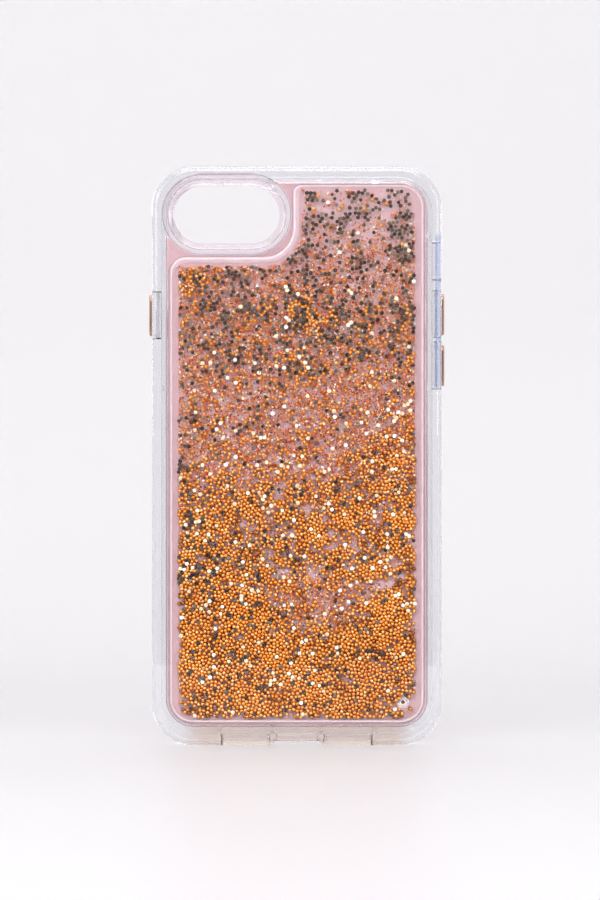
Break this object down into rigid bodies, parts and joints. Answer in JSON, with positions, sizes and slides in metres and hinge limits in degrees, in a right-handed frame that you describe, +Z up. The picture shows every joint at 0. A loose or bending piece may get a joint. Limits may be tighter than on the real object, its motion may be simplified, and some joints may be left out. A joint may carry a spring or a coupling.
{
  "type": "phone case",
  "caption": "Clear two-layer phone case with a liquid glitter reservoir in its back, a camera window and sprung side buttons.",
  "frame": {"origin": "middle of the bottom edge, on the surface the case stands on, at mid depth", "axes": "+X to the right when the back is looked at, +Y towards the open screen side, +Z up the case"},
  "size_m": [0.0738, 0.0126, 0.144],
  "materials": {
    "clear_hard": "polished",
    "weld_clear": "polished",
    "rose_panel": "satin",
    "liquid": "polished",
    "copper_bead": "polished",
    "bronze_foil": "satin",
    "gold_foil": "polished",
    "copper_foil": "polished",
    "clear_soft": "satin",
    "rose_gold_metal": "satin"
  },
  "bodies": {
    "shell": {"outer_shell": "clear_hard", "back_window": "clear_hard", "reservoir_wall": "weld_clear", "inner_panel": "rose_panel", "camera_surround": "clear_hard", "liquid_fill": "liquid", "fill_plug": "weld_clear", "copper_beads": "copper_bead", "bronze_discs": "bronze_foil", "gold_discs": "gold_foil", "fine_flakes": "copper_foil"},
    "liner": {"soft_liner": "clear_soft"},
    "power_button": {"power_button_cap": "rose_gold_metal", "power_button_pad": "clear_soft"},
    "volume_up_button": {"volume_up_cap": "rose_gold_metal", "volume_up_pad": "clear_soft"},
    "volume_down_button": {"volume_down_cap": "rose_gold_metal", "volume_down_pad": "clear_soft"}
  },
  "joints": [
    {"name": "liner_pull", "type": "slide", "parent": "shell", "child": "liner", "axis": [0, 1, 0], "range_m": [0, 0.012]},
    {"name": "power_press", "type": "slide", "parent": "liner", "child": "power_button", "axis": [1, 0, 0], "range_m": [0, 0.0004], "stiffness_N_per_m": 1500},
    {"name": "volume_up_press", "type": "slide", "parent": "liner", "child": "volume_up_button", "axis": [-1, 0, 0], "range_m": [0, 0.0004], "stiffness_N_per_m": 1500},
    {"name": "volume_down_press", "type": "slide", "parent": "liner", "child": "volume_down_button", "axis": [-1, 0, 0], "range_m": [0, 0.0004], "stiffness_N_per_m": 1500}
  ]
}
